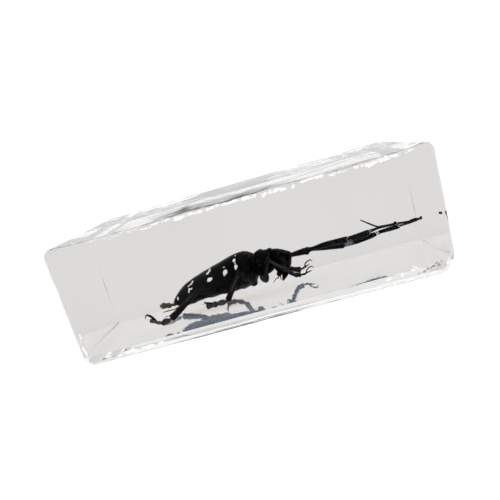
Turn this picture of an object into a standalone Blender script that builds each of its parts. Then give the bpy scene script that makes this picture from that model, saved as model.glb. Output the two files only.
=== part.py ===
"""Paperweight: a long-horned beetle cast inside a clear resin block.

The block is the only piece that can be taken in the hand. It was poured in
layers round the dried beetle, so it has no joint, cavity or lid, and it is one
solid here. Metres, +Z up. The origin is at the centre of the flat base, +X runs
along the block towards the beetle's head, and -Y is the long side that the
beetle is looked at through.
"""

from math import radians

import bmesh
import bpy
from mathutils import Vector

# Overall size of the block at its widest level, just under the top edge.
LENGTH = 0.073
WIDTH = 0.040
HEIGHT = 0.024

# The mould had draft: each end and each long side leans in towards the base.
END_DRAFT = 0.0008
SIDE_DRAFT = 0.0003

# Edges as polished by hand. The four that run from front to back are the
# roundest, those of the front face come next, and the back was hardly touched.
CROSS_RADIUS = 0.0020
FRONT_TOP_RADIUS = 0.00105
FRONT_BASE_RADIUS = 0.00115
FRONT_UPRIGHT_RADIUS = 0.00135
BACK_TOP_RADIUS = 0.00085
BACK_BASE_RADIUS = 0.00040
BACK_UPRIGHT_RADIUS = 0.00050
EDGE_SEGMENTS = 6

COLLECTION = "insect_in_resin_block"


def clear_scene():
    for obj in list(bpy.data.objects):
        bpy.data.objects.remove(obj, do_unlink=True)


def resin_material():
    material = bpy.data.materials.new("clear_resin")
    material.use_nodes = True
    shader = material.node_tree.nodes["Principled BSDF"]
    shader.inputs["Base Color"].default_value = (0.985, 0.985, 0.98, 1.0)
    shader.inputs["Metallic"].default_value = 0.0
    shader.inputs["Roughness"].default_value = 0.0
    shader.inputs["IOR"].default_value = 1.5
    shader.inputs["Transmission Weight"].default_value = 1.0
    return material


def edge_radius(a, b):
    """The rounding of the edge from a to b."""
    if abs(a.y - b.y) > WIDTH / 2:
        return CROSS_RADIUS
    front = a.y < 0
    if abs(a.z - b.z) > HEIGHT / 2:
        return FRONT_UPRIGHT_RADIUS if front else BACK_UPRIGHT_RADIUS
    if a.z > HEIGHT / 2:
        return FRONT_TOP_RADIUS if front else BACK_TOP_RADIUS
    return FRONT_BASE_RADIUS if front else BACK_BASE_RADIUS


def drafted_box(name):
    """A box of the overall size whose base is drawn in by the draft."""
    mesh = bpy.data.meshes.new(name)
    cage = bmesh.new()
    bmesh.ops.create_cube(cage, size=1.0)
    bmesh.ops.scale(cage, vec=Vector((LENGTH, WIDTH, HEIGHT)), verts=cage.verts)
    bmesh.ops.translate(cage, vec=Vector((0.0, 0.0, HEIGHT / 2)), verts=cage.verts)
    low = [v for v in cage.verts if v.co.z < HEIGHT / 2]
    shrink = Vector(
        (1 - END_DRAFT / (LENGTH / 2), 1 - SIDE_DRAFT / (WIDTH / 2), 1.0)
    )
    bmesh.ops.scale(cage, vec=shrink, verts=low)

    # Each edge carries its own rounding as a share of the widest one.
    weights = cage.edges.layers.float.new("bevel_weight_edge")
    for edge in cage.edges:
        a, b = edge.verts
        edge[weights] = edge_radius(a.co, b.co) / CROSS_RADIUS
    cage.to_mesh(mesh)
    cage.free()
    return mesh


def build_block(collection):
    block = bpy.data.objects.new("resin_block", drafted_box("resin_block"))
    collection.objects.link(block)

    rims = block.modifiers.new("round_edges", "BEVEL")
    rims.limit_method = "WEIGHT"
    rims.width = CROSS_RADIUS
    rims.segments = EDGE_SEGMENTS
    rims.use_clamp_overlap = False

    block.data.shade_smooth()
    block.data.set_sharp_from_angle(angle=radians(40))
    block.data.materials.append(resin_material())
    return block


def main():
    clear_scene()
    collection = bpy.data.collections.new(COLLECTION)
    bpy.context.scene.collection.children.link(collection)
    build_block(collection)


main()
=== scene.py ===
from math import atan2, cos, pi, radians, sin, sqrt

import bpy
import numpy as np
from mathutils import Matrix, Vector, noise


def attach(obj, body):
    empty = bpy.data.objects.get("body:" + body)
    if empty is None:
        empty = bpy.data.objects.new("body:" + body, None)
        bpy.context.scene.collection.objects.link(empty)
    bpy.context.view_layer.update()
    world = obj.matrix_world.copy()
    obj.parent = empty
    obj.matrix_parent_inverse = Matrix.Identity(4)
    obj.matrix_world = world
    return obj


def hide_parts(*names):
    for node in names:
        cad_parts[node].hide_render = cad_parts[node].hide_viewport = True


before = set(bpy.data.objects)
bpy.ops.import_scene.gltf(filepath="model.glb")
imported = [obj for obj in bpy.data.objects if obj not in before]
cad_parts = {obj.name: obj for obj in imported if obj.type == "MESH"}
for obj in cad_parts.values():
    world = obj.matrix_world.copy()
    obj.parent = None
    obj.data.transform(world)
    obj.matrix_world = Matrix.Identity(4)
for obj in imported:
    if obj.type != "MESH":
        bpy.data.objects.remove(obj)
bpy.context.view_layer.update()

MM = 0.001


# ------------------------------------------------------------------ helpers

def collection(name):
    col = bpy.data.collections.new(name)
    bpy.context.scene.collection.children.link(col)
    return col


BLOCK = collection("resin")
BEETLE = collection("beetle")
STAGE = collection("stage")


def mesh_object(name, verts_mm, faces, col, smooth=True):
    """An object from points in millimetres, in the row frame."""
    mesh = bpy.data.meshes.new(name)
    mesh.from_pydata([tuple(float(c) * MM for c in v) for v in verts_mm], [], faces)
    mesh.validate()
    mesh.update()
    if smooth:
        mesh.shade_smooth()
    obj = bpy.data.objects.new(name, mesh)
    col.objects.link(obj)
    return obj


def wobble(p, size, seed):
    """Smooth noise from -1 to 1 at a point in millimetres."""
    q = Vector((p[0] / size + seed * 17.3, p[1] / size - seed * 9.1, p[2] / size + seed * 5.7))
    return noise.noise(q)


def nodes_of(name):
    mat = bpy.data.materials.new(name)
    mat.use_nodes = True
    nt = mat.node_tree
    nt.nodes.clear()
    out = nt.nodes.new("ShaderNodeOutputMaterial")
    return mat, nt, out


# ------------------------------------------------------------------ camera

CAM_POS = Vector((9.38449, -116.87530, 30.45454)) * MM
CAM_RIGHT = Vector((0.95993966, 0.03735663, -0.27770549))
CAM_UP = Vector((0.26624600, 0.18732799, 0.94552699))
CAM_BACK = Vector((0.08734371, -0.98158683, 0.16987751))

cam_data = bpy.data.cameras.new("camera")
cam_data.sensor_fit = "HORIZONTAL"
cam_data.sensor_width = 36.0
cam_data.lens = 551.8014 / 500.0 * 36.0
cam_data.clip_start = 0.005
cam_data.clip_end = 50.0
camera = bpy.data.objects.new("camera", cam_data)
bpy.context.scene.collection.objects.link(camera)
camera.matrix_world = Matrix(
    (
        (CAM_RIGHT.x, CAM_UP.x, CAM_BACK.x, CAM_POS.x),
        (CAM_RIGHT.y, CAM_UP.y, CAM_BACK.y, CAM_POS.y),
        (CAM_RIGHT.z, CAM_UP.z, CAM_BACK.z, CAM_POS.z),
        (0.0, 0.0, 0.0, 1.0),
    )
)
bpy.context.scene.camera = camera


# ------------------------------------------------------------------ resin block

HX, HY, H = 36.495, 19.995, 23.99
Z0 = 0.003
END_DRAFT, SIDE_DRAFT = 0.8, 0.3
RC = 2.0          # the four edges that run front to back
CROWN, CROWN_Y = 0.72, 19.2
GRID_E = 0.6 * RC
WORN = 3.6

# Where the second pour starts: a level that leans a little, in millimetres.
def pour_level(x, y):
    return 1.68 - 0.0225 * y + 0.003 * x


def rim_radius(x, z, front):
    """The rounding between a long face and its neighbours, at a point of that face's outline.
    The front was polished more than the back, and by hand, so it is uneven."""
    up = min(max((z - 3.0) / 18.0, 0.0), 1.0)
    side = min(max((abs(x) - (HX - 1.6)) / 1.4, 0.0), 1.0)
    if front:
        level = (1 - up) * 1.15 + up * 1.05
        r = level * (1 - side) + 1.35 * side
        p = (x, 0.0, z)
        r += 0.16 * wobble(p, 7.0, 1) + 0.10 * wobble(p, 2.4, 2)
        if z > 12:
            r += 0.45 * wobble(p, 4.2, 3) + 0.34 * wobble(p, 1.7, 6)
        return min(max(r, 0.55), 1.8)
    level = (1 - up) * 0.06 + up * 0.85
    r = level * (1 - side) + 0.30 * side * min(1.0, 0.2 + up)
    p = (x, 30.0, z)
    r += (0.10 * wobble(p, 6.0, 4) + 0.05 * wobble(p, 2.2, 5)) * (0.05 + 0.95 * up)
    return min(max(r, 0.05), 1.1)


def crown(x, y):
    """How far the polished top has been taken down towards the front, and its slopes along x and y."""
    def drop(x, y):
        t = min(max((CROWN_Y - y) / (CROWN_Y + HY), 0.0), 1.0)
        a = CROWN * (1 + 0.22 * wobble((x, 0, 0), 11.0, 8) + 0.10 * wobble((x, 0, 0), 4.0, 9))
        return a * (1 - (1 - t) ** 2) * min(1.0, 0.35 + (HX - abs(x)) / 9.0)
    d = 0.05
    return (drop(x, y), (drop(x + d, y) - drop(x - d, y)) / (2 * d), (drop(x, y + d) - drop(x, y - d)) / (2 * d))


def to_outline(x, z):
    """Square grid to rounded outline: the point, its distance to the outline, the outward direction."""
    cx, cz = HX - RC, H / 2 - RC
    z = z - H / 2
    a, b = abs(x) - cx, abs(z) - cz
    sx, sz = (1 if x >= 0 else -1), (1 if z >= 0 else -1)
    if a > 0 and b > 0:
        m = max(a, b)
        ang = (pi / 4) * (b / a) if a >= b else pi / 2 - (pi / 4) * (a / b)
        d = (cos(ang) * sx, sin(ang) * sz)
        return (sx * cx + d[0] * m, sz * cz + d[1] * m + H / 2), RC - m, d
    if a >= b:
        return (x, z + H / 2), HX - abs(x), (sx, 0)
    return (x, z + H / 2), H / 2 - abs(z), (0, sz)


def worn_at(y):
    return RC + 0.02 + (WORN - RC) * min(1.0, max(0.0, (-2.0 - y) / 14.0))


def round_off(x, y, z):
    """The lower corner at the head end is worn rounder than the others, most of all at the front:
    pulls a point in towards its middle."""
    worn = worn_at(y)
    a, b = x - (HX - worn), worn - z
    if a <= 0 or b <= 0:
        return (x, z), None
    m = sqrt(a * a + b * b)
    c, s = a / m, b / m
    k = worn - RC
    # how far the unworn outline is in this direction
    if max(c, s) * k >= min(c, s) * worn:
        far = worn / max(c, s)
    else:
        q = k * (c + s)
        far = q + sqrt(max(0.0, q * q - 2 * k * k + RC * RC))
    m *= worn / far
    return (HX - worn + c * m, worn - s * m), (c, -s)


def grid_lines(half, step):
    core = half - RC
    n = max(2, int(round(2 * core / step)))
    pos = [-core + 2 * core * k / n for k in range(n + 1)]
    outer = [core + RC - RC * f for f in (0.0, 0.1, 0.2, 0.3, 0.4, 0.5, 0.6, 0.68, 0.8, 0.9)]
    return [-v for v in outer] + pos + list(reversed(outer))


def resin_block():
    xs = grid_lines(HX, 0.3)
    zs = [v + H / 2 for v in grid_lines(H / 2, 0.5)]
    nx, nz = len(xs), len(zs)
    verts, faces, flat, index = [], [], [], {}

    # The two long faces, with the first half of their rims' rounding.
    for front in (True, False):
        s = -1 if front else 1
        for i in range(nx):
            for j in range(nz):
                (x, z), e, d = to_outline(xs[i], zs[j])
                bx, bz = x + d[0] * e, z + d[1] * e
                r = rim_radius(bx, bz, front)
                share = e / GRID_E
                if share < 0.999:
                    ang = (1 - share) * pi / 4
                    inset = r * (1 - sin(ang))
                    drop = r * (1 - cos(ang))
                    x, z = bx - d[0] * inset, bz - d[1] * inset
                    flat.append(None)
                else:
                    shift = (r - GRID_E) * max(0.0, 1 - (e - GRID_E) / (RC - GRID_E))
                    x, z = x - d[0] * shift, z - d[1] * shift
                    drop = 0.0
                    flat.append((0, s, 0))
                index[(front, i, j)] = len(verts)
                verts.append((x, s * (HY - drop), z))
        for i in range(nx - 1):
            for j in range(nz - 1):
                f = [(front, i, j), (front, i + 1, j), (front, i + 1, j + 1), (front, i, j + 1)]
                if not front:
                    f.reverse()
                faces.append([index[k] for k in f])

    # The ring of top, ends and base between them.
    ring = [(i, 0) for i in range(nx - 1)] + [(nx - 1, j) for j in range(nz - 1)]
    ring += [(i, nz - 1) for i in range(nx - 1, 0, -1)] + [(0, j) for j in range(nz - 1, 0, -1)]
    n = len(ring)
    steps = [0.2, 0.4, 0.6, 0.8, 1.0]
    rows = []
    for i, j in ring:
        (x, z), e, d = to_outline(xs[i], zs[j])
        rf, rb = rim_radius(x, z, True), rim_radius(x, z, False)
        col = [index[(True, i, j)]]
        for s in steps:
            ang = pi / 4 + s * pi / 4
            inset, y = rf * (1 - sin(ang)), -(HY - rf * (1 - cos(ang)))
            col.append(len(verts))
            verts.append((x - d[0] * inset, y, z - d[1] * inset))
            flat.append((d[0], 0, d[1]) if s == 1.0 else None)
        y0, y1 = -(HY - rf) + 0.06, (HY - rb) - 0.06
        m = 26
        for q in range(m + 1):
            col.append(len(verts))
            verts.append((x, y0 + (y1 - y0) * q / m, z))
            flat.append((d[0], 0, d[1]))
        for s in reversed(steps):
            ang = pi / 4 + s * pi / 4
            inset, y = rb * (1 - sin(ang)), HY - rb * (1 - cos(ang))
            col.append(len(verts))
            verts.append((x - d[0] * inset, y, z - d[1] * inset))
            flat.append((d[0], 0, d[1]) if s == 1.0 else None)
        col.append(index[(False, i, j)])
        rows.append(col)
    for k in range(n):
        a, b = rows[k], rows[(k + 1) % n]
        for q in range(len(a) - 1):
            faces.append([a[q], a[q + 1], b[q + 1], b[q]])

    out = []
    for k, (x, y, z) in enumerate(verts):
        (x, z), turned = round_off(x, y, z)
        if turned and flat[k] is not None and abs(flat[k][1]) < 0.5:
            flat[k] = (turned[0], 0, turned[1])
        if z > H / 2:
            d, sx, sy = crown(x, y)
            z -= d * (z - H / 2) / (H / 2)
            if flat[k] is not None and flat[k][2] > 0.5:
                fx, fy, fz = flat[k]
                flat[k] = (fx + sx, fy + sy, fz)
        # fine unevenness where the front rim was polished by hand
        if flat[k] is None and y < 0 and z > 16:
            y += 0.085 * wobble((x, y, z), 0.9, 11)
            z += 0.085 * wobble((x, y, z), 1.0, 12) - 0.06
        t = 1 - z / H
        out.append((x * (1 - END_DRAFT / HX * t), max(y, -HY) * (1 - SIDE_DRAFT / HY * t), z + Z0))
    obj = mesh_object("resin", out, faces, BLOCK)
    mesh = obj.data
    normals = []
    for k, v in enumerate(mesh.vertices):
        if flat[k] is None:
            normals.append(v.normal.copy())
        else:
            fx, fy, fz = flat[k]
            if fz < 0.5:
                fz = fz - abs(fx) * END_DRAFT / H - abs(fy) * SIDE_DRAFT / H
            normals.append(Vector((fx, fy, fz)).normalized())
    mesh.normals_split_custom_set_from_vertices(normals)
    return obj


def resin_material():
    mat, nt, out = nodes_of("clear_resin")
    new, link = nt.nodes.new, nt.links.new
    sh = new("ShaderNodeBsdfPrincipled")
    sh.inputs["IOR"].default_value = 1.5
    sh.inputs["Transmission Weight"].default_value = 1.0
    sh.inputs["Specular Tint"].default_value = (0.01, 0.01, 0.01, 1.0)
    coord = new("ShaderNodeTexCoord")
    split = new("ShaderNodeSeparateXYZ")
    link(coord.outputs["Object"], split.inputs[0])

    def smooth_step(value, low, high):
        node = new("ShaderNodeMapRange")
        node.interpolation_type = "SMOOTHSTEP"
        node.inputs["From Min"].default_value = low
        node.inputs["From Max"].default_value = high
        link(value, node.inputs["Value"])
        return node.outputs["Result"]

    # The top was polished by hand and is a little duller than the cast sides.
    satin = new("ShaderNodeMath")
    satin.operation = "MULTIPLY"
    satin.inputs[1].default_value = TOP_ROUGHNESS
    link(smooth_step(split.outputs["Z"], 0.0218, 0.0229), satin.inputs[0])
    link(satin.outputs[0], sh.inputs["Roughness"])

    def blend(fac, low, high):
        node = new("ShaderNodeMix")
        node.data_type = "RGBA"
        link(fac, node.inputs["Factor"])
        for name, c in (("A", low), ("B", high)):
            if isinstance(c, tuple):
                node.inputs[name].default_value = (*c, 1)
            else:
                link(c, node.inputs[name])
        return node.outputs["Result"]

    # A slow change of tint, as in resin that was mixed by hand, over tints set face by face that are painted shade: the
    # front wall is nearly clear and the far and end walls are the greyer ones, with the top and base between, so what
    # is seen through the block is greyer than its lighting makes it.
    cloud = new("ShaderNodeTexNoise")
    cloud.inputs["Scale"].default_value = 38.0
    cloud.inputs["Detail"].default_value = 2.0
    link(coord.outputs["Object"], cloud.inputs["Vector"])
    step = smooth_step(cloud.outputs["Fac"], 0.3, 0.7)
    far = blend(step, FAR_WALLS_SHADE[0], FAR_WALLS_SHADE[1])
    near = blend(step, NEAR_WALL_SHADE[0], NEAR_WALL_SHADE[1])
    body = blend(smooth_step(split.outputs["Y"], -0.0194, -0.0190), near, far)
    body = blend(smooth_step(split.outputs["Z"], 0.0232, 0.0237), body, TOP_FACE_SHADE)
    # The first pour, at the bottom, is clear along the front wall and greyer further in: painted shade, left off at the
    # front so the band along the foot stays bright. Its level leans the way the pour line does.
    lean = new("ShaderNodeVectorMath")
    lean.operation = "DOT_PRODUCT"
    lean.inputs[1].default_value = (-0.003, 0.0225, 1.0)
    link(coord.outputs["Object"], lean.inputs[0])
    first = smooth_step(lean.outputs["Value"], 0.00160, 0.00172)
    clear = blend(smooth_step(split.outputs["Y"], -0.0186, -0.0180), FIRST_TINT, FIRST_POUR_SHADE)
    body = blend(first, clear, body)
    # the base face's darker tint is painted shade too
    body = blend(smooth_step(split.outputs["Z"], 0.00003, 0.00012), BASE_FACE_SHADE, body)
    link(body, sh.inputs["Base Color"])
    # Polishing left very faint waves.
    wave = new("ShaderNodeTexNoise")
    wave.inputs["Scale"].default_value = 260.0
    wave.inputs["Detail"].default_value = 1.0
    bump = new("ShaderNodeBump")
    bump.inputs["Strength"].default_value = 0.02
    bump.inputs["Distance"].default_value = 0.0002
    link(coord.outputs["Object"], wave.inputs["Vector"])
    link(wave.outputs["Fac"], bump.inputs["Height"])
    link(bump.outputs["Normal"], sh.inputs["Normal"])
    vol = new("ShaderNodeVolumeAbsorption")
    vol.inputs["Color"].default_value = (0.80, 0.80, 0.785, 1.0)
    vol.inputs["Density"].default_value = 2.0
    link(sh.outputs[0], out.inputs["Surface"])
    link(vol.outputs[0], out.inputs["Volume"])
    return mat


# Tints of the block's faces, all painted shade: front wall, far and end walls, top, base, and the first pour away from
# the front.
NEAR_WALL_SHADE = ((0.935, 0.930, 0.922), (0.955, 0.950, 0.944))
FAR_WALLS_SHADE = ((0.345, 0.336, 0.327), (0.356, 0.347, 0.339))
TOP_FACE_SHADE = (0.84, 0.84, 0.835)
BASE_FACE_SHADE = (0.56, 0.555, 0.545)
FIRST_TINT = (1.0, 1.0, 0.995)
TOP_ROUGHNESS = 0.05
FIRST_POUR_SHADE = (0.76, 0.76, 0.755)

resin = resin_block()
resin.data.materials.append(resin_material())
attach(resin, "root")
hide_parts("resin_block")


# ------------------------------------------------------------------ pour line

SKIN = 0.015


def pour_line():
    """The skin between the two pours, a closed sheet just inside the walls."""
    gap = 0.005
    nx, ny = 260, 140

    def half(z, y, right):
        t = 1 - z / H
        e = max(0.0, RC - z)
        cut = RC - sqrt(max(0.0, RC * RC - e * e))
        worn = 0.0
        if right:
            w = worn_at(y)
            e = max(0.0, w - z)
            worn = w - sqrt(max(0.0, w * w - e * e)) - cut
        return (HX - cut - worn) * (1 - END_DRAFT / HX * t) - gap, HY - SIDE_DRAFT * t - gap

    verts, faces = [], []
    for layer in (0, 1):
        for i in range(nx + 1):
            for j in range(ny + 1):
                u, v = -1 + 2 * i / nx, -1 + 2 * j / ny
                z = pour_level(u * 35, v * 19)
                for _ in range(3):
                    hx, hy = half(z, v * 19.7, u > 0)
                    x, y = u * hx, v * hy
                    z = pour_level(x, y)
                z += 0.012 * wobble((x, y, 0), 9.0, 21)
                if not layer:
                    z += 0.0080 * wobble((x, y, 0), 1.5, 22) + 0.0048 * wobble((x, y, 0), 0.7, 23)
                verts.append((x, y, z - (SKIN if layer else 0)))
    w = ny + 1
    base = (nx + 1) * w
    for i in range(nx):
        for j in range(ny):
            a = i * w + j
            faces.append([a, a + w, a + w + 1, a + 1])
            faces.append([base + a, base + a + 1, base + a + w + 1, base + a + w])
    loop = [i * w for i in range(nx + 1)] + [nx * w + j for j in range(1, ny + 1)]
    loop += [i * w + ny for i in range(nx - 1, -1, -1)] + [j for j in range(ny - 1, 0, -1)]
    for k in range(len(loop)):
        a, b = loop[k], loop[(k + 1) % len(loop)]
        faces.append([a, base + a, base + b, b])
    obj = mesh_object("pour_line", verts, faces, BLOCK)
    return obj


def pour_materials():
    """The two faces of the skin. Both mirror at a low angle and are clear when looked at steeply."""
    def start(name):
        mat, nt, out = nodes_of(name)
        new, link = nt.nodes.new, nt.links.new
        facing = new("ShaderNodeLayerWeight")
        facing.inputs["Blend"].default_value = 0.5
        grazing = new("ShaderNodeMapRange")
        grazing.interpolation_type = "SMOOTHSTEP"
        grazing.inputs["From Min"].default_value = 0.70
        grazing.inputs["From Max"].default_value = 0.80
        link(facing.outputs["Facing"], grazing.inputs["Value"])
        # each face only works from its own side
        side = new("ShaderNodeNewGeometry")
        outer = new("ShaderNodeMath")
        outer.operation = "SUBTRACT"
        outer.inputs[0].default_value = 1.0
        link(side.outputs["Backfacing"], outer.inputs[1])
        both = new("ShaderNodeMath")
        both.operation = "MULTIPLY"
        link(outer.outputs[0], both.inputs[0])
        link(grazing.outputs["Result"], both.inputs[1])
        clear = new("ShaderNodeBsdfTransparent")
        mirror = new("ShaderNodeBsdfGlossy")
        mirror.inputs["Roughness"].default_value = 0.0
        mix = new("ShaderNodeMixShader")
        link(clear.outputs[0], mix.inputs[1])
        link(both.outputs[0], mix.inputs["Fac"])
        link(mix.outputs[0], out.inputs["Surface"])
        coord = new("ShaderNodeTexCoord")
        patchy = new("ShaderNodeTexNoise")
        patchy.inputs["Scale"].default_value = 420.0
        patchy.inputs["Detail"].default_value = 2.0
        link(coord.outputs["Object"], patchy.inputs["Vector"])
        tint = new("ShaderNodeValToRGB")
        tint.color_ramp.elements[0].position = 0.38
        tint.color_ramp.elements[1].position = 0.62
        link(patchy.outputs["Fac"], tint.inputs["Fac"])
        return mat, new, link, mirror, mix, tint

    # From above: a mirror with a faint bluish milkiness, as where one pour had begun to set.
    upper, new, link, mirror, mix, tint = start("pour_skin")
    mirror.inputs["Color"].default_value = (*SKIN_MIRROR, 1)
    tint.color_ramp.elements[0].color = (*SKIN_MILK[0], 1)
    tint.color_ramp.elements[1].color = (*SKIN_MILK[1], 1)
    milk = new("ShaderNodeBsdfDiffuse")
    link(tint.outputs["Color"], milk.inputs["Color"])
    add = new("ShaderNodeAddShader")
    link(milk.outputs[0], add.inputs[0])
    link(mirror.outputs[0], add.inputs[1])
    through = new("ShaderNodeBsdfTransparent")
    through.inputs["Color"].default_value = (0.03, 0.03, 0.03, 1)
    more = new("ShaderNodeAddShader")
    link(add.outputs[0], more.inputs[0])
    link(through.outputs[0], more.inputs[1])
    link(more.outputs[0], mix.inputs[2])

    # From below: a plain mirror, with faint patches.
    lower, new, link, mirror, mix, tint = start("pour_under")
    tint.color_ramp.elements[0].color = (0.96, 0.96, 0.955, 1)
    tint.color_ramp.elements[1].color = (1.0, 1.0, 1.0, 1)
    link(tint.outputs["Color"], mirror.inputs["Color"])
    link(mirror.outputs[0], mix.inputs[2])
    return upper, lower


SKIN_MIRROR = (0.955, 0.905, 0.855)
SKIN_MILK = ((0.14, 0.195, 0.245), (0.185, 0.225, 0.285))

skin = pour_line()
for m in pour_materials():
    skin.data.materials.append(m)
for f in skin.data.polygons:
    f.material_index = 0 if f.normal.z > 0.5 else 1
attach(skin, "root")


# ------------------------------------------------------------------ painted highlights, dark flecks and painted shadow in the surface

def fleck_material(name, low, high, scale, painted_glow=0.0):
    mat, nt, out = nodes_of(name)
    new, link = nt.nodes.new, nt.links.new
    sh = new("ShaderNodeBsdfPrincipled")
    sh.inputs["Roughness"].default_value = 0.8
    sh.inputs["Specular IOR Level"].default_value = 0.1
    # painted light: a glow that no lamp gives, which makes the highlight flakes read brighter
    sh.inputs["Emission Color"].default_value = (1.0, 0.985, 0.975, 1.0)
    sh.inputs["Emission Strength"].default_value = painted_glow
    coord = new("ShaderNodeTexCoord")
    grain = new("ShaderNodeTexNoise")
    grain.inputs["Scale"].default_value = scale
    grain.inputs["Detail"].default_value = 3.0
    link(coord.outputs["Object"], grain.inputs["Vector"])
    ramp = new("ShaderNodeValToRGB")
    ramp.color_ramp.elements[0].position = 0.38
    ramp.color_ramp.elements[0].color = (*low, 1)
    ramp.color_ramp.elements[1].position = 0.62
    ramp.color_ramp.elements[1].color = (*high, 1)
    link(grain.outputs["Fac"], ramp.inputs["Fac"])
    link(ramp.outputs["Color"], sh.inputs["Base Color"])
    link(sh.outputs[0], out.inputs["Surface"])
    return mat


def flake(place, length, width, seed, thick=0.03, turn=0.0):
    """A thin ragged scale. place(u, v) gives the point and the outward direction for u along and v across, in mm."""
    rings, sides = 4, 22
    verts, faces = [], []
    for layer in (0, 1):
        for i in range(1, rings + 1):
            for k in range(sides):
                phi = 2 * pi * k / sides
                r = i / rings * (1 + 0.55 * wobble((cos(phi) * 1.6, sin(phi) * 1.6, seed), 0.8, 90)
                                 + 0.25 * wobble((cos(phi) * 5, sin(phi) * 5, seed), 0.8, 91))
                u, v = 0.5 * length * r * cos(phi), 0.5 * width * r * sin(phi)
                u, v = u * cos(turn) - v * sin(turn), u * sin(turn) + v * cos(turn)
                p, d = place(u, v)
                verts.append(tuple(p[c] - d[c] * (0.02 + (thick if layer else 0.0)) for c in range(3)))
        p, d = place(0.0, 0.0)
        verts.append(tuple(p[c] - d[c] * (0.02 + (thick if layer else 0.0)) for c in range(3)))
    n = rings * sides + 1
    for layer in (0, 1):
        base = layer * n
        for i in range(rings - 1):
            for k in range(sides):
                a, b = base + i * sides + k, base + i * sides + (k + 1) % sides
                f = [a, a + sides, b + sides, b]
                faces.append(f if layer == 0 else f[::-1])
        for k in range(sides):
            f = [base + n - 1, base + k, base + (k + 1) % sides]
            faces.append(f if layer == 0 else f[::-1])
    edge = (rings - 1) * sides
    for k in range(sides):
        a, b = edge + k, edge + (k + 1) % sides
        faces.append([a, n + a, n + b, b])
    return verts, faces


def taper(x, y, z):
    t = 1 - z / H
    return (x * (1 - END_DRAFT / HX * t), y * (1 - SIDE_DRAFT / HY * t), z + Z0)


def on_top_rim(x0, ang0):
    """Places along the rounding between the front and the top; ang is 0 at the front and 90 at the top."""
    def place(u, v):
        x = x0 + u
        r = rim_radius(x, H, True)
        ang = radians(min(max(ang0 + v / r * 57.3, -25.0), 88.0))
        c, s = cos(ang), sin(max(ang, 0.0))
        y, z = -(HY - r * (1 - cos(max(ang, 0.0)))), H - r * (1 - s)
        if ang < 0:
            z += r * ang
        z -= crown(x, y)[0]
        d = (0.0, -c, s)
        x, y, z = taper(x, y, z)
        return (x, y + 0.10 * c, z - 0.10 * s), d
    return place


def on_front(x0, z0, lean=0.0, depth=0.02):
    def place(u, v):
        return taper(x0 + u, -HY + depth, z0 + v + lean * u), (0.0, -1.0, 0.0)
    return place


def on_base_rim(x0, ang0):
    """The same along the rounding between the front and the base."""
    def place(u, v):
        x = x0 + u
        r = rim_radius(x, 0.0, True)
        ang = radians(min(max(ang0 + v / r * 57.3, 0.0), 80.0))
        y, z = -(HY - r * (1 - cos(ang))), r * (1 - sin(ang))
        return (taper(x, y, z)[0], y * (1 - SIDE_DRAFT / HY) + 0.02 * cos(ang), z + 0.02 * sin(ang) + Z0), (0.0, -cos(ang), -sin(ang))
    return place


def draw(seed, n):
    """n even numbers from 0 to 1 that are the same on each run."""
    return np.random.RandomState(seed).rand(n)


def flakes(name, items, material):
    verts, faces = [], []
    for place, length, width, seed, turn in items:
        v, f = flake(place, length, width, seed, turn=turn)
        base = len(verts)
        verts += v
        faces += [[base + k for k in q] for q in f]
    obj = mesh_object(name, verts, faces, BLOCK)
    obj.data.materials.append(material)
    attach(obj, "root")
    return obj


# Painted highlights: white flakes with a glow just inside the front-top rim, the foot's rim at the right and the lower
# front at both ends.
HIGHLIGHT_FLAKES = []
for n, (a, b, c, d) in enumerate(draw(7, 4 * 58).reshape(-1, 4)):
    x = -26.5 + 59.0 * (n + a) / 58
    share = min(1.0, max(0.35, (x + 26.0) / 14.0))
    HIGHLIGHT_FLAKES.append((on_top_rim(x, 14 + 40 * b), 0.6 + 2.3 * c * c, (0.30 + 0.62 * d) * share, 200 + n, 0.25 * (b - 0.5)))
for x, ang, length, width in ((22.0, 30, 1.6, 0.5), (24.6, 35, 1.0, 0.7), (27.5, 30, 1.8, 0.4), (30.6, 30, 1.2, 0.6)):
    HIGHLIGHT_FLAKES.append((on_base_rim(x, ang), length, width, 300 + int(x), 0.0))
HIGHLIGHT_FLAKES += [(on_front(-26.6, 1.15, 0.02), 2.8, 0.60, 345, 0.0), (on_front(-23.3, 1.15), 2.4, 0.55, 346, 0.0),
           (on_front(-20.6, 1.2), 1.3, 0.40, 347, 0.0), (on_front(-28.9, 0.95), 0.9, 0.4, 348, 0.2)]
HIGHLIGHT_FLAKES += [(on_front(34.9, 2.2, 0.3, 0.24), 0.7, 1.3, 341, -0.5), (on_front(28.6, 2.5, 0.1), 1.0, 1.1, 342, 0.3),
           (on_front(26.2, 1.9), 0.7, 0.8, 349, 0.0), (on_front(23.8, 1.7, 0.1), 1.3, 0.4, 350, 0.0),
           (on_front(-35.2, 3.2), 0.45, 2.6, 343, 0.1), (on_front(-35.0, 6.4), 0.3, 1.2, 344, 0.0)]
flakes("painted_highlight_flakes", HIGHLIGHT_FLAKES, fleck_material("painted_highlight_grains", (0.62, 0.60, 0.59), (0.97, 0.955, 0.945), 1500.0, painted_glow=0.30))

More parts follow.
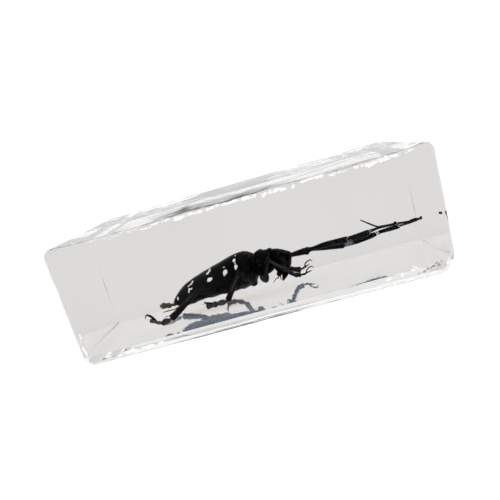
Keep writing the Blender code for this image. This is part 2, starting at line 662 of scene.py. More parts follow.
# Dark flecks just inside the front, low down near both ends.
DARK_FLECKS = [(on_front(30.2, 1.45), 0.9, 0.30, 351, 0.25), (on_front(31.9, 1.9), 1.1, 0.42, 352, 0.3),
        (on_front(33.1, 1.95), 0.6, 0.5, 353, 0.0), (on_front(31.0, 1.75), 0.5, 0.22, 357, 0.2),
        (on_front(32.7, 2.4), 0.6, 0.25, 358, 0.4), (on_front(33.7, 2.5), 0.45, 0.2, 359, 0.3),
        (on_front(29.3, 1.3), 0.5, 0.2, 360, 0.2), (on_front(-32.2, 0.95), 1.0, 0.26, 354, 0.1),
        (on_front(-30.2, 1.0), 1.3, 0.20, 355, 0.1), (on_front(-27.6, 1.6), 0.7, 0.30, 356, 0.2)]
flakes("dark_flecks_in_resin", DARK_FLECKS, fleck_material("dark_fleck_grains", (0.20, 0.185, 0.165), (0.66, 0.635, 0.60), 2600.0))

# A thin dark line along the foot of the front, strongest under the beetle's body: a painted contact shadow.
FOOT_SHADOW_FLAKES = [(on_base_rim(x, 49), length, width, 370 + n, 0.0) for n, (x, length, width) in enumerate((
    (-16.4, 2.6, 0.18), (-12.6, 5.6, 0.40), (-8.6, 5.2, 0.46), (-4.8, 4.8, 0.42), (-1.2, 3.6, 0.26),
    (2.2, 4.6, 0.46), (5.1, 2.9, 0.28), (13.2, 2.8, 0.18)))]
flakes("base_painted_shadow", FOOT_SHADOW_FLAKES, fleck_material("painted_contact_shadow", (0.045, 0.038, 0.033), (0.17, 0.15, 0.13), 1800.0))


# ------------------------------------------------------------------ beetle: tools
#
# The beetle has its own frame in millimetres: x forward, y to its left, z up. Its head is
# turned ten degrees towards the long side that it is looked at through.

PSI = radians(-10.0)
NUDGE = (0.14, -0.12)


def row(p):
    x, y, z = p
    return (-5 + x * cos(PSI) - y * sin(PSI), x * sin(PSI) + y * cos(PSI), z)


def table(*points):
    """A smooth curve through (x, value) points."""
    pts = np.array(sorted(points), float)
    xs, ys = pts[:, 0], pts[:, 1]
    m = np.gradient(ys, xs)

    def f(x):
        x = min(max(x, xs[0]), xs[-1])
        k = min(max(int(np.searchsorted(xs, x)) - 1, 0), len(xs) - 2)
        h = xs[k + 1] - xs[k]
        t = (x - xs[k]) / h
        return float(
            ys[k] * (2 * t**3 - 3 * t**2 + 1) + m[k] * h * (t**3 - 2 * t**2 + t)
            + ys[k + 1] * (3 * t**2 - 2 * t**3) + m[k + 1] * h * (t**3 - t**2)
        )

    return f


def smooth_path(points, per):
    """Catmull-Rom through the rows of points, per steps a span."""
    P = np.array(points, float)
    if len(P) == 2:
        t = np.linspace(0, 1, per + 1)[:, None]
        return P[0] * (1 - t) + P[1] * t
    E = np.vstack([2 * P[0] - P[1], P, 2 * P[-1] - P[-2]])
    out = []
    for k in range(1, len(E) - 2):
        a, b, c, d = E[k - 1], E[k], E[k + 1], E[k + 2]
        for s in range(per):
            t = s / per
            out.append(0.5 * (2 * b + (c - a) * t + (2 * a - 5 * b + 4 * c - d) * t**2
                              + (3 * b - a - 3 * c + d) * t**3))
    out.append(E[-2])
    return np.array(out)


class Part:
    """Points, faces and two painted amounts: down (pale hair) and warm (brown)."""

    def __init__(self, verts, faces, down=0.0, warm=0.0):
        self.v = np.array(verts, float)
        self.f = faces
        n = len(self.v)
        self.down = np.full(n, down, float) if np.isscalar(down) else np.array(down, float)
        self.warm = np.full(n, warm, float) if np.isscalar(warm) else np.array(warm, float)

    def normals(self):
        n = np.zeros_like(self.v)
        for f in self.f:
            p = self.v[f]
            c = np.zeros(3)
            for k in range(1, len(f) - 1):
                c += np.cross(p[k] - p[0], p[k + 1] - p[0])
            n[f] += c
        return n / np.maximum(np.linalg.norm(n, axis=1, keepdims=True), 1e-12)

    def rough(self, amount, size, seed):
        """Uneven skin: moves each point along its normal."""
        n = self.normals()
        d = np.array([amount * wobble(p, size, seed) for p in self.v])
        self.v += n * d[:, None]
        return self


def sweep(points, radii, sides=14, per=6, ref=(0, 0, 1), ends=(0.9, 0.9), down=0.0, warm=0.0, rough=0.0, seed=0):
    """A limb: radii are (half thickness along ref, half width across) at each point."""
    P = smooth_path(points, per)
    R = np.array([r if hasattr(r, "__len__") else (r, r) for r in radii], float)
    R = np.maximum(smooth_path(R, per), 0.01)
    n = len(P)

    def along(value):
        if np.isscalar(value):
            return np.full(n, float(value))
        return np.interp(np.linspace(0, 1, n), np.linspace(0, 1, len(value)), value)

    D, Wm = along(down), along(warm)
    T = np.gradient(P, axis=0)
    T /= np.linalg.norm(T, axis=1, keepdims=True)
    ref = np.array(ref, float)
    rings = []
    for k, (end, s) in enumerate(((0, -1), (n - 1, 1))):
        cap = []
        r = R[end].min() * ends[k]
        for a in (72, 54, 36, 18):
            a = radians(a)
            cap.append((P[end] + s * T[end] * r * sin(a), R[end] * cos(a), T[end], D[end], Wm[end]))
        rings.append(cap)
    stack = rings[0] + [(P[k], R[k], T[k], D[k], Wm[k]) for k in range(n)] + rings[1][::-1]
    verts, dn, wm = [], [], []
    for c, r, t, d, w in stack:
        u = ref - t * (ref @ t)
        u /= np.linalg.norm(u)
        v = np.cross(t, u)
        for k in range(sides):
            a = 2 * pi * k / sides
            verts.append(c + u * r[0] * cos(a) + v * r[1] * sin(a))
            dn.append(d)
            wm.append(w)
    faces = []
    m = len(stack)
    for i in range(m - 1):
        for k in range(sides):
            a, b = i * sides + k, i * sides + (k + 1) % sides
            faces.append([a, b, b + sides, a + sides])
    for end, s in ((0, -1), (n - 1, 1)):
        r = R[end].min() * (ends[0] if s < 0 else ends[1])
        verts.append(P[end] + s * T[end] * r)
        dn.append(D[end])
        wm.append(Wm[end])
    p0, p1 = m * sides, m * sides + 1
    last = (m - 1) * sides
    for k in range(sides):
        b = (k + 1) % sides
        faces.append([p0, b, k])
        faces.append([p1, last + k, last + b])
    part = Part(verts, faces, dn, wm)
    if rough:
        part.rough(rough, 0.5, seed)
    return part


def blob(centre, radii, turn=0.0, rings=14, sides=20, down=0.0, warm=0.0, rough=0.0, seed=0):
    """A lump, turned about y by turn degrees."""
    verts, faces = [], []
    c, s = cos(radians(turn)), sin(radians(turn))
    for i in range(1, rings):
        a = pi * i / rings
        for k in range(sides):
            b = 2 * pi * k / sides
            x, y, z = radii[0] * sin(a) * cos(b), radii[1] * sin(a) * sin(b), radii[2] * cos(a)
            verts.append((centre[0] + x * c + z * s, centre[1] + y, centre[2] - x * s + z * c))
    for z in (radii[2], -radii[2]):
        verts.append((centre[0] + z * s, centre[1], centre[2] + z * c))
    for i in range(rings - 2):
        for k in range(sides):
            a, b = i * sides + k, i * sides + (k + 1) % sides
            faces.append([a, a + sides, b + sides, b])
    top, low = (rings - 1) * sides, (rings - 1) * sides + 1
    for k in range(sides):
        b = (k + 1) % sides
        faces.append([top, k, b])
        last = (rings - 2) * sides
        faces.append([low, last + b, last + k])
    part = Part(verts, faces, down, warm)
    if rough:
        part.rough(rough, 0.6, seed)
    return part


def loft(rings, down=0.0, warm=0.0, ends=True):
    """A closed body through rings of the same count, closed with a point at each end."""
    m, s = len(rings), len(rings[0])
    verts = [p for r in rings for p in r]
    faces = []
    for i in range(m - 1):
        for k in range(s):
            a, b = i * s + k, i * s + (k + 1) % s
            faces.append([a, b, b + s, a + s])
    first, last = np.mean(rings[0], axis=0), np.mean(rings[-1], axis=0)
    verts += [tuple(first), tuple(last)]
    p0, p1, q = m * s, m * s + 1, (m - 1) * s
    for k in range(s):
        b = (k + 1) % s
        faces.append([p0, b, k])
        faces.append([p1, q + k, q + b])
    return Part(verts, faces, down, warm)


def outward(part):
    """Turns the faces outward if the closed shape came out inside out."""
    v = part.v
    total = 0.0
    for f in part.f:
        for k in range(1, len(f) - 1):
            total += np.dot(v[f[0]], np.cross(v[f[k]], v[f[k + 1]]))
    if total < 0:
        part.f = [list(reversed(f)) for f in part.f]
    return part


def piece(name, parts, material, local=False):
    """One named piece of the beetle from its parts. local: the points are in the beetle's frame."""
    verts, faces, down, warm = [], [], [], []
    for p in parts:
        outward(p)
        base = len(verts)
        placed = [row(v) for v in p.v] if local else p.v
        verts += [(v[0] + NUDGE[0], v[1], v[2] + NUDGE[1]) for v in placed]
        faces += [[base + k for k in f] for f in p.f]
        down += list(p.down)
        warm += list(p.warm)
    obj = mesh_object(name, verts, faces, BEETLE)
    for key, values in (("down", down), ("warm", warm)):
        layer = obj.data.attributes.new(key, "FLOAT", "POINT")
        layer.data.foreach_set("value", np.array(values, np.float32))
    obj.data.materials.append(material)
    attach(obj, "root")
    return obj


# ------------------------------------------------------------------ beetle: materials

def cuticle(name, dark, light, brown, down, rough, pit_scale, pit_depth, spec=0.35):
    """Black chitin: fine pits, a slow change of gloss, brown where it is thin, pale hair by patches."""
    mat, nt, out = nodes_of(name)
    new, link = nt.nodes.new, nt.links.new
    sh = new("ShaderNodeBsdfPrincipled")
    sh.inputs["Specular IOR Level"].default_value = spec
    sh.inputs["IOR"].default_value = 1.5
    coord = new("ShaderNodeTexCoord")
    tone = new("ShaderNodeTexNoise")
    tone.inputs["Scale"].default_value = 900.0
    tone.inputs["Detail"].default_value = 4.0
    link(coord.outputs["Object"], tone.inputs["Vector"])
    ramp = new("ShaderNodeValToRGB")
    ramp.color_ramp.elements[0].position = 0.35
    ramp.color_ramp.elements[0].color = (*dark, 1)
    ramp.color_ramp.elements[1].position = 0.70
    ramp.color_ramp.elements[1].color = (*light, 1)
    link(tone.outputs["Fac"], ramp.inputs["Fac"])

    warm = new("ShaderNodeAttribute")
    warm.attribute_name = "warm"
    mix_warm = new("ShaderNodeMix")
    mix_warm.data_type = "RGBA"
    mix_warm.inputs["B"].default_value = (*brown, 1)
    link(warm.outputs["Fac"], mix_warm.inputs["Factor"])
    link(ramp.outputs["Color"], mix_warm.inputs["A"])

    # Pale hair: a fine fleck noise thins it out where the painted amount is low.
    hair = new("ShaderNodeAttribute")
    hair.attribute_name = "down"
    fleck = new("ShaderNodeTexNoise")
    fleck.inputs["Scale"].default_value = 6500.0
    fleck.inputs["Detail"].default_value = 2.0
    link(coord.outputs["Object"], fleck.inputs["Vector"])
    cover = new("ShaderNodeMath")
    cover.operation = "ADD"
    link(hair.outputs["Fac"], cover.inputs[0])
    link(fleck.outputs["Fac"], cover.inputs[1])
    cut = new("ShaderNodeMapRange")
    cut.inputs["From Min"].default_value = 0.62
    cut.inputs["From Max"].default_value = 1.25
    link(cover.outputs[0], cut.inputs["Value"])
    mix_down = new("ShaderNodeMix")
    mix_down.data_type = "RGBA"
    mix_down.inputs["B"].default_value = (*down, 1)
    link(cut.outputs["Result"], mix_down.inputs["Factor"])
    link(mix_warm.outputs["Result"], mix_down.inputs["A"])
    link(mix_down.outputs["Result"], sh.inputs["Base Color"])

    gloss = new("ShaderNodeMapRange")
    gloss.inputs["To Min"].default_value = rough[0]
    gloss.inputs["To Max"].default_value = rough[1]
    link(tone.outputs["Fac"], gloss.inputs["Value"])
    link(gloss.outputs["Result"], sh.inputs["Roughness"])

    pits = new("ShaderNodeTexVoronoi")
    pits.inputs["Scale"].default_value = pit_scale
    link(coord.outputs["Object"], pits.inputs["Vector"])
    pit = new("ShaderNodeMapRange")
    pit.inputs["From Min"].default_value = 0.0
    pit.inputs["From Max"].default_value = 0.45
    link(pits.outputs["Distance"], pit.inputs["Value"])
    bump = new("ShaderNodeBump")
    bump.inputs["Strength"].default_value = 0.7
    bump.inputs["Distance"].default_value = pit_depth
    link(pit.outputs["Result"], bump.inputs["Height"])
    bump2 = new("ShaderNodeBump")
    bump2.inputs["Strength"].default_value = 0.35
    bump2.inputs["Distance"].default_value = pit_depth
    link(tone.outputs["Fac"], bump2.inputs["Height"])
    link(bump.outputs["Normal"], bump2.inputs["Normal"])
    link(bump2.outputs["Normal"], sh.inputs["Normal"])
    link(sh.outputs[0], out.inputs["Surface"])
    return mat


def hair_and_highlight_streaks(name, low, high, scale):
    """Short dense hair, and the painted shin highlights: bright strands with darker gaps."""
    mat, nt, out = nodes_of(name)
    new, link = nt.nodes.new, nt.links.new
    sh = new("ShaderNodeBsdfPrincipled")
    sh.inputs["Roughness"].default_value = 0.85
    sh.inputs["Specular IOR Level"].default_value = 0.15
    sh.inputs["Sheen Weight"].default_value = 0.3
    coord = new("ShaderNodeTexCoord")
    strand = new("ShaderNodeTexNoise")
    strand.inputs["Scale"].default_value = scale
    strand.inputs["Detail"].default_value = 5.0
    strand.inputs["Roughness"].default_value = 0.7
    link(coord.outputs["Object"], strand.inputs["Vector"])
    ramp = new("ShaderNodeValToRGB")
    ramp.color_ramp.elements[0].position = 0.32
    ramp.color_ramp.elements[0].color = (*low, 1)
    ramp.color_ramp.elements[1].position = 0.60
    ramp.color_ramp.elements[1].color = (*high, 1)
    link(strand.outputs["Fac"], ramp.inputs["Fac"])
    link(ramp.outputs["Color"], sh.inputs["Base Color"])
    bump = new("ShaderNodeBump")
    bump.inputs["Strength"].default_value = 0.5
    bump.inputs["Distance"].default_value = 0.00003
    link(strand.outputs["Fac"], bump.inputs["Height"])
    link(bump.outputs["Normal"], sh.inputs["Normal"])
    link(sh.outputs[0], out.inputs["Surface"])
    return mat


def pale_sleeve(name):
    """The pale hair on an antenna joint: it thins out to black where the painted amount is low."""
    mat, nt, out = nodes_of(name)
    new, link = nt.nodes.new, nt.links.new
    sh = new("ShaderNodeBsdfPrincipled")
    sh.inputs["Roughness"].default_value = 0.8
    sh.inputs["Specular IOR Level"].default_value = 0.1
    coord = new("ShaderNodeTexCoord")
    strand = new("ShaderNodeTexNoise")
    strand.inputs["Scale"].default_value = 2600.0
    strand.inputs["Detail"].default_value = 4.0
    link(coord.outputs["Object"], strand.inputs["Vector"])
    hair = new("ShaderNodeAttribute")
    hair.attribute_name = "down"
    total = new("ShaderNodeMath")
    total.operation = "ADD"
    link(hair.outputs["Fac"], total.inputs[0])
    link(strand.outputs["Fac"], total.inputs[1])
    cut = new("ShaderNodeMapRange")
    cut.inputs["From Min"].default_value = 0.72
    cut.inputs["From Max"].default_value = 1.32
    link(total.outputs[0], cut.inputs["Value"])
    mix = new("ShaderNodeMix")
    mix.data_type = "RGBA"
    mix.inputs["A"].default_value = (0.004, 0.004, 0.005, 1)
    mix.inputs["B"].default_value = (0.42, 0.45, 0.52, 1)
    link(cut.outputs["Result"], mix.inputs["Factor"])
    link(mix.outputs["Result"], sh.inputs["Base Color"])
    link(sh.outputs[0], out.inputs["Surface"])
    return mat


BLUE_DOWN = (0.028, 0.030, 0.044)
BROWN = (0.020, 0.012, 0.009)
M_ELYTRA = cuticle("black_elytra", (0.0003, 0.0003, 0.0003), (0.0022, 0.0022, 0.0021), (0.0088, 0.0094, 0.0086), BLUE_DOWN,
                   (0.32, 0.52), 5200.0, 0.000025, spec=0.03)
M_BODY = cuticle("black_cuticle", (0.0002, 0.0002, 0.0002), (0.0020, 0.0020, 0.0021), BROWN, BLUE_DOWN,
                 (0.35, 0.6), 4200.0, 0.00003, spec=0.02)
M_VENTER = cuticle("grey_haired_underside", (0.0012, 0.0012, 0.0012), (0.0085, 0.0085, 0.0080), BROWN, (0.072, 0.070, 0.066),
                   (0.45, 0.7), 4800.0, 0.00003, spec=0.05)
M_LEG = cuticle("leg_cuticle", (0.0012, 0.0011, 0.0011), (0.0100, 0.0093, 0.0092), BROWN, BLUE_DOWN,
                (0.32, 0.55), 5600.0, 0.00002, spec=0.06)
M_FOOT = cuticle("foot_hair", (0.0022, 0.0020, 0.0020), (0.050, 0.045, 0.040), (0.120, 0.094, 0.072), (0.058, 0.055, 0.078),
                 (0.5, 0.75), 5600.0, 0.00002, spec=0.06)
M_FOOT_FRONT = cuticle("front_foot_hair", (0.0012, 0.0012, 0.0013), (0.018, 0.017, 0.019), (0.040, 0.031, 0.026), (0.036, 0.034, 0.046),
                       (0.5, 0.75), 5600.0, 0.00002, spec=0.06)
M_EYE = cuticle("compound_eye", (0.0002, 0.0002, 0.0003), (0.0012, 0.0012, 0.0014), BROWN, BLUE_DOWN,
                (0.15, 0.25), 16000.0, 0.000012, spec=0.10)
M_SPOT = hair_and_highlight_streaks("white_hair", (0.80, 0.80, 0.79), (0.99, 0.99, 0.98), 9000.0)
M_BAND = pale_sleeve("pale_band_hair")


# ------------------------------------------------------------------ beetle: wing cases

TOP = table((-14.15, 5.0), (-13.98, 5.5), (-13.5, 6.05), (-12.8, 6.75), (-11.6, 7.65), (-10.4, 8.3),
            (-9.4, 8.7), (-8.4, 9.08), (-7.3, 9.42), (-6.4, 9.7), (-5.4, 9.97), (-4.4, 10.26), (-3.5, 10.5),
            (-2.5, 10.75), (-1.6, 11.0), (-0.6, 11.28), (0.4, 11.55), (1.3, 11.72), (2.2, 11.8), (3.0, 11.72),
            (3.8, 11.42), (4.4, 10.95), (4.75, 10.4))
HALF = table((-14.15, 0.75), (-14.05, 1.35), (-13.7, 2.05), (-13.0, 2.65), (-12.0, 3.15), (-10.5, 3.65), (-8, 4.05),
             (-4, 4.3), (0, 4.4), (2.5, 4.5), (3.4, 4.38), (4.1, 3.95), (4.5, 3.5), (4.75, 3.05))
MARGIN = table((-14.15, 4.4), (-13.5, 4.55), (-12, 4.85), (-10, 5.15), (-8, 5.5), (-4, 6.05), (0, 6.55),
               (2, 6.95), (3.5, 7.4), (4.75, 7.9))
POW = 2 / 2.35


def elytron_point(side, x, th):
    """The outer surface: x along the body, th from 0 at the suture to pi/2 at the margin."""
    w, zt, zm = HALF(x), TOP(x), MARGIN(x)
    y = 0.03 + (w - 0.03) * sin(th) ** POW
    z = zm + (zt - zm) * max(cos(th), 0.0) ** POW
    # the shoulder stands out, and the suture is a little raised
    sh = max(0.0, 1 - ((x - 3.2) / 1.3) ** 2) * max(0.0, 1 - ((th - 1.05) / 0.38) ** 2)
    y += 0.22 * sh
    z += 0.10 * sh
    if y < 0.5:
        z += 0.05 * (1 - y / 0.5) * min(1.0, (x + 14.2) / 2.0)
    if y < 0.16:
        z -= 0.09 * (1 - y / 0.16)
    return np.array((x, side * y, z))


def elytron_normal(side, x, th):
    d = 0.02
    a = elytron_point(side, min(x + d, 4.75), th) - elytron_point(side, max(x - d, -14.15), th)
    b = elytron_point(side, x, min(th + d, pi / 2)) - elytron_point(side, x, max(th - d, 0.0))
    n = np.cross(a, b)
    n /= np.linalg.norm(n) + 1e-12
    return n if n[2] + side * n[1] * 0.5 > 0 else -n


def elytron(side, name):
    xs = [-14.15, -14.1, -14.03, -13.94, -13.84, -13.72, -13.58, -13.44, -13.3]
    xs += list(np.linspace(-13.15, 4.0, 152)) + [4.1, 4.2, 4.3, 4.4, 4.48, 4.56, 4.63, 4.69, 4.75]
    ths = list(np.linspace(0, pi / 2, 64))
    nx, nt = len(xs), len(ths)
    outer = np.zeros((nx, nt, 3))
    inner = np.zeros((nx, nt, 3))
    for i, x in enumerate(xs):
        for j, th in enumerate(ths):
            p = elytron_point(side, x, th)
            n = elytron_normal(side, x, th)
            d = 0.03 * wobble(p, 2.2, 31 + side) + 0.012 * wobble(p, 0.6, 33 + side)
            # faint ribs along the wing case
            d += 0.018 * cos(th * 17.0) * min(1.0, max(0.0, (2.0 - x) / 4.0)) * (1 - th / 1.9)
            # grains behind the shoulders, fewer and lower towards the middle
            if x > 0.6:
                q = Vector((p[0] / 0.46, p[1] / 0.46, p[2] / 0.46))
                f1 = noise.voronoi(q)[0][0]
                d += 0.075 * max(0.0, 1 - f1 / 0.42) ** 1.5 * min(1.0, (x - 0.6) / 1.5)
            outer[i, j] = p + n * d
            t = 0.26 * min(1.0, (x + 14.4) / 1.0)
            inner[i, j] = p - n * t
            if th > pi / 2 - 0.02:
                inner[i, j] = p - n * t * 0.9
            inner[i, j][1] = side * max(side * inner[i, j][1], 0.03)
    verts = [tuple(v) for v in outer.reshape(-1, 3)] + [tuple(v) for v in inner.reshape(-1, 3)]
    base = nx * nt
    faces = []
    for i in range(nx - 1):
        for j in range(nt - 1):
            a = i * nt + j
            faces.append([a, a + nt, a + nt + 1, a + 1])
            faces.append([base + a, base + a + 1, base + a + nt + 1, base + a + nt])
    loop = [i * nt for i in range(nx)] + [(nx - 1) * nt + j for j in range(1, nt)]
    loop += [i * nt + nt - 1 for i in range(nx - 2, -1, -1)] + [j for j in range(nt - 2, 0, -1)]
    for k in range(len(loop)):
        a, b = loop[k], loop[(k + 1) % len(loop)]
        faces.append([a, base + a, base + b, b])
    # the wing cases turn from black to a dark grey-brown towards the rear
    paler_rearwards = [0.85 * min(1.0, max(0.0, (0.8 - v[0]) / 8.0)) for v in verts]
    return piece(name, [Part(verts, faces, 0.0, paler_rearwards)], M_ELYTRA, local=True)


def spot(side, x, th, a, b, turn=0.0, seed=0, raggedness=0.22):
    """A low tuft of white hair on a wing case: a (along) by b (down the side) in millimetres."""
    d = 0.01
    rate = np.linalg.norm(elytron_point(side, x, min(th + d, 1.56)) - elytron_point(side, x, th - d)) / (2 * d)
    rings, sides = 7, 30
    c, s = cos(radians(turn)), sin(radians(turn))
    verts, faces = [], []

    def at(r, phi, lift):
        k = 1 + raggedness * wobble((cos(phi) * 1.3, sin(phi) * 1.3, seed * 2.1), 0.8, 40 + seed)
        k += 0.10 * wobble((cos(phi) * 4, sin(phi) * 4, seed), 0.8, 50 + seed)
        u, v = 0.9 * a * r * k * cos(phi), 0.9 * b * r * k * sin(phi)
        u, v = u * c - v * s, u * s + v * c
        px, pt = min(max(x + u, -14.1), 4.7), min(max(th + v / rate, 0.002), 1.565)
        p = elytron_point(side, px, pt)
        return p + elytron_normal(side, px, pt) * lift

    for i in range(1, rings + 1):
        r = i / rings
        for k in range(sides):
            phi = 2 * pi * k / sides
            verts.append(at(r, phi, 0.085 * (1 - r**4) + 0.012 * wobble((r * 9, phi * 5, seed), 1.0, 61)))
    verts.append(at(0.0, 0.0, 0.09))
    centre = len(verts) - 1
    for i in range(rings - 1):
        for k in range(sides):
            p, q = i * sides + k, i * sides + (k + 1) % sides
            faces.append([p, p + sides, q + sides, q])
    for k in range(sides):
        faces.append([centre, k, (k + 1) % sides])
    # a skirt down into the wing case closes the tuft
    low = len(verts)
    for k in range(sides):
        verts.append(at(0.96, 2 * pi * k / sides, -0.10))
    verts.append(at(0.0, 0.0, -0.12))
    top = (rings - 1) * sides
    for k in range(sides):
        n = (k + 1) % sides
        faces.append([top + k, low + k, low + n, top + n])
        faces.append([low + sides, low + n, low + k])
    return Part(verts, faces)


elytron(-1, "wing_case_right")
elytron(1, "wing_case_left")

# Places on the wing cases: (x, th, a, b, turn, seed)
SPOTS_RIGHT = [
    (1.52, 0.68, 0.36, 0.52, 8, 1), (1.70, 0.885, 0.11, 0.34, 8, 2), (1.78, 1.05, 0.46, 0.44, 0, 3),
    (1.68, 1.145, 0.20, 0.22, 0, 31), (1.75, 0.36, 0.19, 0.16, 0, 4),
    (-0.86, 0.79, 0.18, 0.18, 0, 5), (-0.72, 1.06, 0.56, 0.56, 0, 6), (-0.98, 1.165, 0.26, 0.24, 0, 32),
    (-4.66, 0.60, 0.40, 0.36, 0, 7), (-4.25, 0.48, 0.30, 0.40, -30, 33), (-4.42, 0.24, 0.30, 0.34, 0, 8),
    (-4.27, 1.07, 0.70, 0.42, 0, 9), (-4.5, 1.05, 0.40, 0.48, 0, 34),
    (-8.42, 0.60, 0.24, 0.44, 12, 10), (-8.80, 0.72, 0.42, 0.22, 10, 11), (-9.35, 0.75, 0.26, 0.18, -10, 35),
    (-8.85, 1.05, 0.46, 0.20, 0, 12), (-9.25, 1.00, 0.24, 0.30, 0, 36), (-9.40, 1.13, 0.20, 0.34, 0, 13),
    (-12.42, 1.10, 0.26, 0.42, 0, 14),
]
SPOTS_LEFT = [
    (1.5, 0.70, 0.40, 0.50, 0, 21), (1.6, 1.06, 0.42, 0.46, 0, 22), (1.9, 0.34, 0.18, 0.18, 0, 23),
    (-0.8, 1.02, 0.54, 0.58, 0, 24), (-1.0, 0.72, 0.2, 0.18, 0, 25),
    (-4.55, 0.50, 0.44, 0.46, 20, 26), (-4.40, 0.22, 0.26, 0.30, 0, 37), (-4.3, 1.04, 0.62, 0.46, 0, 27),
    (-8.7, 0.66, 0.30, 0.50, 25, 28), (-9.1, 1.06, 0.42, 0.32, 0, 29), (-12.3, 1.06, 0.28, 0.40, 0, 30),
]
piece("white_spots_right", [spot(-1, *s[:5], seed=s[5]) for s in SPOTS_RIGHT], M_SPOT, local=True)
piece("white_spots_left", [spot(1, *s[:5], seed=s[5]) for s in SPOTS_LEFT], M_SPOT, local=True)


# ------------------------------------------------------------------ beetle: body

BELLY = table((-13.7, 4.4), (-13.0, 4.0), (-11.8, 3.78), (-11, 3.76), (-10, 3.8), (-9.1, 3.98), (-8.2, 4.1),
              (-7.1, 4.28), (-6.3, 4.24), (-5.4, 4.16), (-4.5, 4.2), (-3.6, 4.3), (-2.7, 4.25), (-1.0, 4.15),
              (0, 4.28), (0.8, 4.35), (1.7, 4.32), (2.7, 4.55), (3.5, 4.75), (4.2, 5.2), (4.7, 6.1))
PLATES = [3.3, 1.2, -3.0, -5.9, -8.0, -9.9, -11.6, -13.2]


def venter():
    rings = []
    xs = list(np.linspace(-13.65, 4.7, 190))
    down = []
    for x in xs:
        w = max(HALF(x) - 0.42, 0.25)
        zm, zt, zb = MARGIN(x), TOP(x), BELLY(x)
        mid = zm + 0.25
        up = max(0.15, 0.55 * (zt - zm))
        k = next((i for i in range(len(PLATES) - 1) if PLATES[i] >= x > PLATES[i + 1]), None)
        step = 0.0
        if k is not None:
            f = (PLATES[k] - x) / (PLATES[k] - PLATES[k + 1])
            step = 0.13 * f - 0.05
            if f > 0.93:
                step -= 0.16 * (f - 0.93) / 0.07
        ring = []
        for q in range(64):
            a = 2 * pi * q / 64
            cy, sz = cos(a), sin(a)
            y = w * (abs(cy) ** 0.86) * (1 if cy >= 0 else -1)
            if sz < 0:
                z = mid - (mid - zb + step) * abs(sz) ** 0.86
                y *= 1 + 0.5 * step / w
            else:
                z = mid + up * abs(sz) ** 0.86
            ring.append((x, y, z))
            # grey hair in upright streaks on the thorax, hardly any further back
            hair = 0.30 + 0.85 * wobble((x * 2.9, y * 0.4, z * 0.5), 1.2, 71) + 0.2 * wobble((x, y, z), 0.5, 74)
            front = min(1.0, max(0.0, (x + 1.2) / 2.6))
            low = min(1.0, max(0.0, (6.9 - z) / 1.5))
            down.append(max(0.0, hair) * (0.06 + 0.94 * front) * low)
        rings.append(ring)
    down += [0.3, 0.3]
    part = loft(rings, down=down)
    part.rough(0.035, 0.55, 72)
    return part


def ring_x(x, w, zt, zb, mid=None, n=2.2, count=56, lift=None):
    """A ring across the body at x."""
    mid = (zt + zb) / 2 if mid is None else mid
    out = []
    for q in range(count):
        a = 2 * pi * q / count
        cy, sz = cos(a), sin(a)
        y = w * abs(cy) ** (2 / n) * (1 if cy >= 0 else -1)
        z = mid + ((zt - mid) if sz > 0 else (mid - zb)) * abs(sz) ** (2 / n) * (1 if sz > 0 else -1)
        out.append(lift(x, y, z) if lift else (x, y, z))
    return out


PRO_TOP = table((4.35, 10.2), (4.55, 10.62), (4.9, 10.75), (5.25, 10.85), (5.5, 11.08), (6.1, 11.15), (6.6, 11.15),
                (7.1, 10.95), (7.6, 10.92), (8.0, 11.05), (8.4, 11.1), (8.65, 10.9), (8.8, 10.4))
PRO_LOW = table((4.35, 7.0), (4.8, 6.35), (5.4, 6.0), (6.2, 5.8), (7.0, 6.0), (7.8, 6.3), (8.4, 6.7), (8.8, 7.2))
PRO_W = table((4.35, 2.7), (4.6, 3.15), (5.0, 3.4), (5.3, 3.35), (5.8, 3.6), (6.5, 3.75), (7.2, 3.55), (7.8, 3.2),
              (8.2, 3.15), (8.6, 3.05), (8.8, 2.6))


def pro_lift(x, y, z):
    """The side spine and the knobs on the disc."""
    s = 1 if y > 0 else -1
    d = sqrt(((x - 6.45) / 1.0) ** 2 + ((z - 9.05) / 0.95) ** 2)
    if d < 1 and abs(y) > 1.5:
        k = (1 - d) ** 1.35
        y += s * 1.75 * k
        z += 0.25 * k
        x -= 0.12 * k
    for kx, ky, r, h in ((6.5, 0.0, 0.9, 0.08), (6.1, 1.55, 0.75, 0.24), (6.1, -1.55, 0.75, 0.24),
                         (7.3, 1.2, 0.6, 0.12), (7.3, -1.2, 0.6, 0.12)):
        q = ((x - kx) / r) ** 2 + ((y - ky) / r) ** 2
        if q < 1 and z > 9.5:
            z += h * (1 - q) ** 2
    return (x, y, z)


def prothorax():
    rings = [ring_x(x, PRO_W(x), PRO_TOP(x), PRO_LOW(x), mid=8.6, n=2.15, count=96, lift=pro_lift)
             for x in np.linspace(4.35, 8.8, 64)]
    part = loft(rings)
    part.rough(0.05, 0.42, 81)
    part.rough(0.025, 0.2, 82)
    return part


HEAD_FRONT = table((5.5, 10.9), (6.0, 11.4), (6.6, 11.78), (7.2, 12.02), (8.0, 12.26), (8.6, 12.3), (9.0, 12.12),
                   (9.5, 11.75), (10.0, 11.05), (10.35, 10.35), (10.62, 9.7), (10.72, 9.3))
HEAD_BACK = table((5.5, 9.3), (6.0, 8.95), (7, 8.5), (8, 8.35), (9, 8.3), (9.8, 8.3), (10.4, 8.35), (10.72, 8.7))
HEAD_W = table((5.5, 1.45), (6.0, 1.85), (6.6, 2.15), (7.2, 2.35), (8.0, 2.45), (8.8, 2.42), (9.2, 2.35),
               (9.6, 2.2), (10.0, 1.95), (10.35, 1.5), (10.62, 0.95), (10.72, 0.4))


